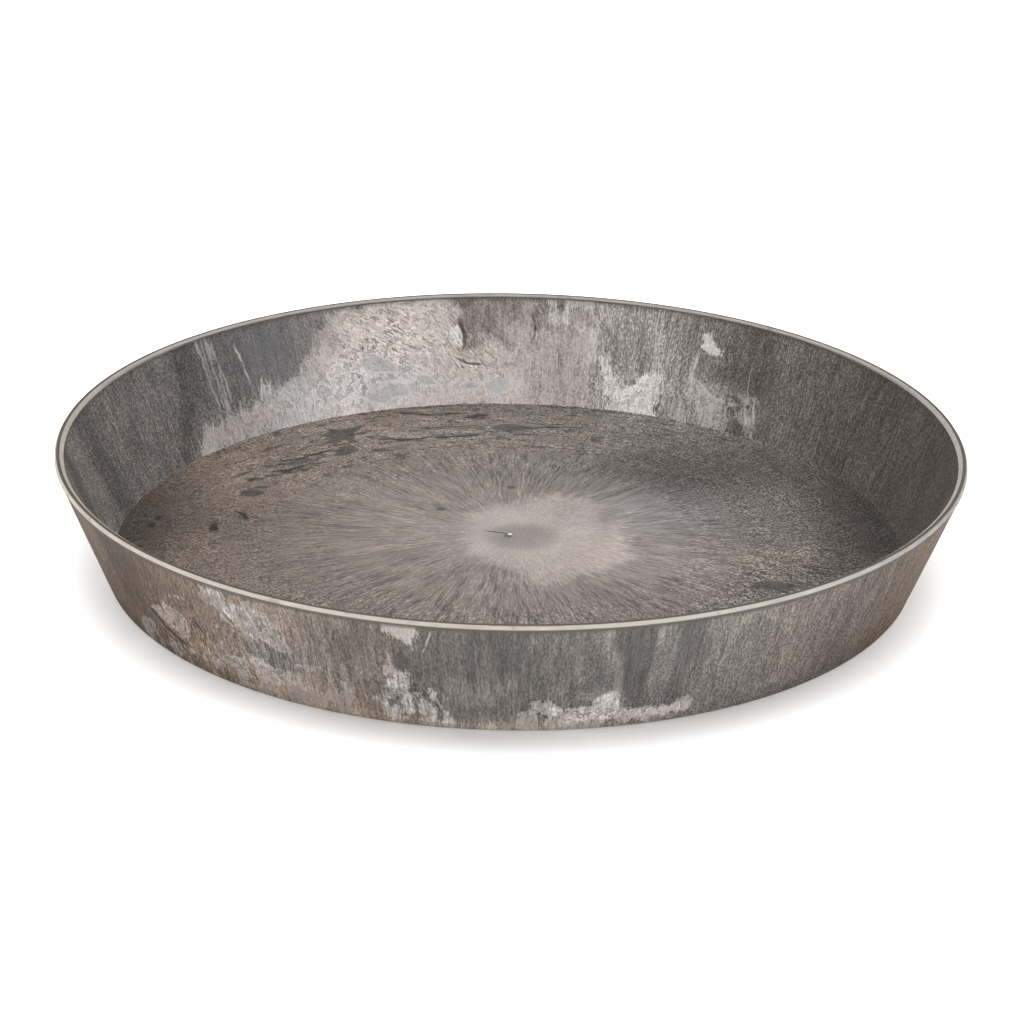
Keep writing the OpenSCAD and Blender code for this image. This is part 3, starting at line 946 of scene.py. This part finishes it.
def mark_rim(marks):
    """The rim's two bevels are worn light with a painted highlight; its top is dark, with painted shadow
    lines below the bevels.
    """
    z, r = marks.places[:, 2], marks.r
    rim = marks.zone == RIM
    marks.set(rim, tone=RIM_TONE, tint=curve(marks.angle, RIM_TINT)[rim])
    marks.flow[rim] = marks.sideways(rim) * RIM_STRETCH
    # The bevels are worn light with a painted highlight, weaker on the right of the outer bevel. Painted
    # shadow lines lie at the foot of the inner bevel at the back, at the top of the inner wall and under
    # the lip.
    inner = rim & (r < INNER_TOP_R + INNER_BEVEL[0] - EDGE_ROUND / 2)
    outer = rim & (r > RIM_R - OUTER_BEVEL[0] + EDGE_ROUND / 2) & (z > LIP_BOTTOM + LIP_H / 2)
    line = inner & (z < INNER_TOP_Z + BEVEL_LINE_H)
    at_back = curve(marks.angle, RIM_BACK)[line]
    marks.set(inner, rim_light=BEVEL_LIGHT)
    marks.set(line, rim_light=BEVEL_LIGHT * (1 - at_back), rim_dark=BEVEL_SHADOW * at_back)
    marks.set(outer, rim_light=curve(marks.angle, OUTER_BEVEL_LIGHT)[outer])
    marks.set(rim & ~inner & ~outer, rim_dark=RIM_TOP_DARK)
    marks.set((marks.zone == INNER) & (z > INNER_TOP_Z - RIM_LINE_H), rim_dark=INNER_SHADOW)
    marks.set((marks.zone == OUTER) & (z > SHOULDER_Z - RIM_LINE_H), rim_dark=LIP_SHADOW)


def mark_under(marks):
    at = marks.zone == UNDER
    marks.set(at, tone=UNDER_TONE, tint=UNDER_TINT)
    marks.flow[at] = marks.outwards(at) * UNDER_STRETCH


def make_saucer():
    floor, wall, under = floor_outline(), wall_outline(), under_outline()
    outline = floor + wall[1:] + under
    counts = [points_around(r, AROUND) for r, z in floor]
    counts += [AROUND for p in wall[1:]]
    counts += [points_around(r, AROUND // 2) for r, z in under]
    places, faces, rings = lathe(outline, counts)
    mesh = bpy.data.meshes.new("saucer_body")
    mesh.from_pydata((places * MM).tolist(), [], faces)
    mesh.shade_smooth()
    zone = np.concatenate([[kind] * len(ring) for kind, ring in zip(zones(outline), rings)])
    marks = Marks(places, zone)
    mark_floor(marks)
    mark_wall(marks, INNER, INNER_SLOPE, 1, INNER_FEATURES)
    mark_wall(marks, OUTER, OUTER_SLOPE, -1, OUTER_FEATURES)
    mark_rim(marks)
    mark_under(marks)
    marks.store(mesh)
    body = bpy.data.objects.new("saucer_body", mesh)
    bpy.context.scene.collection.objects.link(body)
    return body


class Value:
    """The output of a node. Sums and products of values add nodes to the same material."""

    def __init__(self, nodes, socket):
        self.nodes, self.socket = nodes, socket

    def __add__(self, other):
        return self.nodes.math("ADD", self, other)

    def __sub__(self, other):
        return self.nodes.math("SUBTRACT", self, other)

    def __mul__(self, other):
        return self.nodes.math("MULTIPLY", self, other)

    def __truediv__(self, other):
        return self.nodes.math("DIVIDE", self, other)

    def __abs__(self):
        return self.nodes.math("ABSOLUTE", self)

    __radd__, __rmul__ = __add__, __mul__


class Nodes:
    """Short calls that add nodes to one material. Each gives the new node's output."""

    def __init__(self, material):
        material.use_nodes = True
        self.tree = material.node_tree
        self.shader = self.tree.nodes["Principled BSDF"]

    def add(self, kind, inputs, output=0, **settings):
        node = self.tree.nodes.new(kind)
        for name, value in settings.items():
            setattr(node, name, value)
        for key, value in inputs.items():
            self.put(node.inputs[key], value)
        return Value(self, node.outputs[output])

    def put(self, socket, value):
        if isinstance(value, Value):
            self.tree.links.new(value.socket, socket)
        elif socket.type == "RGBA":
            socket.default_value = (*value, 1)
        else:
            socket.default_value = value

    def surface(self, inputs):
        for name, value in inputs.items():
            self.put(self.shader.inputs[name], value)

    def mark(self, name, output="Fac"):
        """A value that is stored on the mesh's points."""
        return self.add("ShaderNodeAttribute", {}, output, attribute_name=name)

    def math(self, operation, a, b=0.0):
        return self.add("ShaderNodeMath", {0: a, 1: b}, operation=operation)

    def vectors(self, operation, *inputs):
        return self.add("ShaderNodeVectorMath", dict(enumerate(inputs)), operation=operation)

    def times(self, vector, factor):
        return self.add("ShaderNodeVectorMath", {0: vector, "Scale": factor}, operation="SCALE")

    def rise(self, value, start, end, low=0.0, high=1.0, kind="SMOOTHSTEP"):
        """Goes from low to high as value goes from start to end."""
        inputs = {"Value": value, "From Min": start, "From Max": end, "To Min": low, "To Max": high}
        return self.add("ShaderNodeMapRange", inputs, interpolation_type=kind)

    def share(self, value, start, end):
        """Goes evenly from 0 to 1 as value goes from start to end."""
        return self.rise(value, start, end, kind="LINEAR")

    def mix(self, amount, a, b):
        return self.add("ShaderNodeMix", {0: amount, 6: a, 7: b}, 2, data_type="RGBA")

    def shaded(self, colour, stops):
        return self.times(colour, self.math("POWER", 2.0, stops))

    def raw_noise(self, place, size, detail=0.0, output=0):
        inputs = {"Vector": place, "Scale": 1 / size, "Detail": detail}
        return self.add("ShaderNodeTexNoise", inputs, output)

    def centred(self, value, half):
        """Noise stretched to run from -1 to 1."""
        return self.rise(value, 0.5 - half, 0.5 + half, -1.0, 1.0, "LINEAR")

    def noise(self, place, size, detail=0.0, half=NOISE_HALF):
        return self.centred(self.raw_noise(place, size, detail), half)

    def streaks(self, place, flow, size, half):
        """Noise drawn out along the flow, by averaging it over some places along it."""
        out = 0.0
        for step in STREAK_STEPS:
            there = self.vectors("MULTIPLY_ADD", flow, (step * size,) * 3, place)
            out = self.raw_noise(there, size) + out
        return self.centred(out / len(STREAK_STEPS), half)


class Stone(Nodes):
    """The stone's material, with the noises that its layers share."""

    def __init__(self, material):
        super().__init__(material)
        place = self.times(self.add("ShaderNodeTexCoord", {}, "Object"), 1 / MM)
        warp = self.raw_noise(place, WARP_SIZE, 2.0, "Color")
        self.warp = self.vectors("SUBTRACT", warp, (0.5, 0.5, 0.5))
        self.bent = self.bend(place, PATCH_BEND)
        self.drape = self.fan(self.bent, DRAPES, DRAPE_LENGTH)
        self.ray = self.fan(self.bent, RAYS, RAY_LENGTH)
        self.hair = self.fan(self.bend(place, HAIR_BEND), self.mark("hairs"), HAIR_LENGTH)
        self.fine = self.streaks(place, self.mark("flow", "Vector"), FINE_SIZE, FINE_HALF)
        self.strokes = self.noise(self.bend(self.mark("stroke", "Vector"), STROKE_BEND), 1.0, 1.0)
        self.grain = self.noise(place, GRAIN_SIZE)
        self.mottle = self.noise(place, MOTTLE_SIZE, 3)
        self.patchy = self.noise(place, PATCHY_SIZE, 5, PATCHY_HALF)
        self.torn = self.noise(self.bent, TORN_SIZE, 3)
        self.ragged = 2.4 * self.patchy + self.drape + 0.9 * self.hair + 0.5 * self.fine
        drift = self.add("ShaderNodeSeparateXYZ", {"Vector": self.warp}, "X")
        self.tint = self.mark("tint") + 0.2 * drift
        self.tone, self.pale_tone = self.mark("tone"), self.mark("pale_tone")
        self.core = self.rise(self.mark("core") + 2 * self.ray + 5 * self.hair + 1.5 * self.patchy, -5, 2)
        fibre = (0.62 * self.fine + 0.42 * self.grain) * self.rise(self.core, 0.3, 1, 1.0, 0.85)
        hairs = 0.5 * self.hair - 0.4 * self.rise(self.hair, -0.2, -0.8)
        self.fibre = fibre * (self.mark("grit") + 1.0) + hairs * self.mark("hair")
        self.dark = 0.95 * self.patch("dark", 0.45, 0.25)
        self.slate = self.patch("slate", 0.45, 0.5)

    def bend(self, vector, amount):
        return self.vectors("MULTIPLY_ADD", self.warp, (amount,) * 3, vector)

    def fan(self, vector, count, length):
        """Noise drawn out away from the dish's axis."""
        around = self.vectors("NORMALIZE", self.vectors("MULTIPLY", vector, (1, 1, 0)))
        far = self.add("ShaderNodeCombineXYZ", {"Z": self.mark("along") / length})
        return self.noise(self.vectors("ADD", self.times(around, count), far), 1.0, 2.0)

    def patch(self, name, soft, wear=1.0):
        """How far patches with ragged edges cover what is below them."""
        return self.rise((self.mark(name) + wear * self.ragged) / soft, -1, 1)


def plain_stone(s):
    """Colour of the plain stone, and of the pale core of the floor, with the painted light and shade that
    its tone carries.
    """
    colour = s.mix(s.share(s.tint, 0, 1), NEUTRAL, WARM)
    colour = s.mix(s.share(s.tint, 1, 2), colour, RUST)
    colour = s.mix(s.share(s.tint, 0, -1), colour, COOL)
    colour = s.mix(s.mark("rose"), colour, ROSE)
    stops = s.tone + s.fibre + s.drape * s.mark("drape") + 0.22 * s.mottle
    return s.shaded(colour, stops + 0.57 * s.core + 0.25 * (s.ray * s.mark("rays")))


def lay_patches(s, colour):
    """Dark, pale and white patches, peeling over them with painted highlights and shadows, and islands."""
    dark = s.mix(s.share(s.tint, 0, 0.6), DARK, DARK_WARM)
    colour = s.mix(s.dark, colour, s.shaded(dark, 0.4 * s.fibre))
    pale = s.mix(s.share(s.tint, 0.2, 1), PALE, PALE_WARM)
    pale = s.mix(s.share(s.tint, 0.1, -0.6), pale, PALE_COOL)
    pale = s.shaded(pale, s.pale_tone + 0.35 * s.fibre + 0.2 * s.mottle)
    colour = s.mix(s.patch("pale", s.mark("soft")), colour, pale)
    white = s.shaded(WHITE, 0.4 * s.fibre + 0.5 * s.pale_tone)
    colour = s.mix(0.92 * s.patch("white", 0.7, 0.5), colour, white)
    colour = s.shaded(colour, peeling(s) * s.mark("peel"))
    slate = s.shaded(SLATE, 0.3 * s.tone + 0.25 * s.fibre + 0.15 * s.mottle)
    return s.mix(s.slate, colour, slate)


def peeling(s):
    """Stops by which peeled stone is lighter or darker: a pale edge line, partly a painted highlight, a
    ditch of painted shadow beside it, and a step.
    """
    line = s.rise(abs(s.torn), 0.22, 0.05)
    ditch = s.rise(abs(s.torn + 0.34), 0.2, 0.05)
    return 0.6 * line - 0.6 * ditch + 0.25 * s.rise(s.torn, -0.05, 0.2) - 0.15


def lay_dark_lines(s, colour):
    """Dark dashes of the brush with light ones beside them, partly painted highlights, and dark cracks with
    a lighter bank on each side.
    """
    dash = 0.5 * s.rise(s.strokes, -0.36, -0.62) - 1.3 * s.rise(s.strokes, 0.36, 0.62)
    off = abs(s.mark("crack") + s.patchy)
    crack = 0.35 * s.rise(abs(off - 1.9), 0.6, 0.2) - 1.6 * s.rise(off, 1.3, 0.8)
    return s.shaded(colour, dash * s.mark("dash") + crack * s.mark("crack_near"))


def lay_pale_lines(s, colour):
    """Pale lines: along the edges of pale patches and of islands, a net, and single veins."""
    white = s.shaded(WHITE, 0.6 * s.pale_tone)
    edge = s.rise(abs(s.mark("pale") + 2.4 * s.patchy + s.drape), 0.4, 0.05)
    colour = s.mix(0.65 * (edge * s.mark("peel")), colour, white)
    edge = s.rise(abs(s.mark("slate") + 0.5 * s.ragged), 0.7, 0.15)
    colour = s.mix(0.6 * edge, colour, white)
    inputs = {"Vector": s.times(s.bent, 1 / NET_SIZE)}
    cells = s.add("ShaderNodeTexVoronoi", inputs, "Distance", feature="DISTANCE_TO_EDGE")
    net = s.rise(cells, 0.11, 0.03) * s.mark("net") * s.rise(s.patchy, -0.5, 0.3)
    colour = s.mix(0.85 * net, colour, s.shaded(WHITE, 0.6 * s.pale_tone + 0.12))
    vein = s.rise(abs(s.mark("vein") + 1.8 * s.patchy), 1.8, 0.2) * s.mark("vein_near")
    vein = vein * s.rise(s.torn, -0.9, -0.1)
    return s.mix(0.7 * vein, colour, s.shaded(WHITE, s.pale_tone))


def lay_rim(s, colour):
    # Dark top of the rim and its painted shadow lines, then the worn light bevels with their painted
    # highlight
    colour = s.mix(s.mark("rim_dark"), colour, RIM_DARK)
    light = s.mix(s.share(s.tint, 0, 1), RIM_LIGHT, RIM_CREAM)
    nick = s.rise(s.patchy, 0.6, 0.85)
    light = s.shaded(light, 0.15 * s.fine + 0.15 * s.mottle - 0.4 * nick)
    return s.mix(s.mark("rim_light"), colour, light)


def stone():
    material = bpy.data.materials.new("stone_resin")
    s = Stone(material)
    colour = plain_stone(s)
    for lay in (lay_patches, lay_dark_lines, lay_pale_lines, lay_rim):
        colour = lay(s, colour)
    smooth = s.math("MAXIMUM", s.dark, s.slate)
    height = 0.7 * s.fine + 0.4 * s.grain
    bump = {"Strength": BUMP_STRENGTH, "Distance": BUMP_DEPTH * MM, "Height": height}
    s.surface({
        "Base Color": colour,
        "Roughness": 0.06 * s.mottle - 0.12 * smooth + ROUGHNESS,
        "Specular IOR Level": SPECULAR,
        "Normal": s.add("ShaderNodeBump", bump),
    })
    return material


def make_ground():
    mesh = bpy.data.meshes.new("ground")
    s = GROUND_HALF
    mesh.from_pydata([(-s, -s, 0), (s, -s, 0), (s, s, 0), (-s, s, 0)], [], [(0, 1, 2, 3)])
    ground = bpy.data.objects.new("ground", mesh)
    bpy.context.scene.collection.objects.link(ground)
    material = bpy.data.materials.new("ground")
    Nodes(material).surface({
        "Base Color": (GROUND_GREY,) * 3,
        "Roughness": GROUND_ROUGHNESS,
        "Specular IOR Level": 0.0,
        "Emission Color": (1, 1, 1),
        "Emission Strength": GROUND_GLOW,
    })
    mesh.materials.append(material)
    return ground


def sun(name, azimuth, elevation, strength, spread):
    light = bpy.data.lights.new(name, "SUN")
    light.energy = strength
    light.angle = math.radians(spread)
    lamp = bpy.data.objects.new(name, light)
    bpy.context.scene.collection.objects.link(lamp)
    a, e = math.radians(azimuth), math.radians(elevation)
    towards = Vector((math.cos(a) * math.cos(e), math.sin(a) * math.cos(e), math.sin(e)))
    lamp.rotation_mode = "QUATERNION"
    lamp.rotation_quaternion = towards.to_track_quat("Z", "Y")
    return lamp


def only_on(lamp, thing):
    """Let a lamp light one thing alone."""
    lit = bpy.data.collections.new(lamp.name + "_lights")
    lit.objects.link(thing)
    lamp.light_linking.receiver_collection = lit


def make_light(things):
    scene = bpy.context.scene
    scene.view_settings.view_transform = "Standard"
    world = bpy.data.worlds.new("studio")
    scene.world = world
    world.use_nodes = True
    sky = world.node_tree.nodes["Background"]
    sky.inputs["Color"].default_value = (1, 1, 1, 1)
    sky.inputs["Strength"].default_value = SKY_STRENGTH
    for *settings, lit in LAMPS:
        lamp = sun(*settings)
        if lit:
            only_on(lamp, things[lit])


make_camera()
saucer = make_saucer()
saucer.data.materials.append(stone())
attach(saucer, "root")
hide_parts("saucer")
ground = make_ground()
make_light({"dish": saucer, "ground": ground})
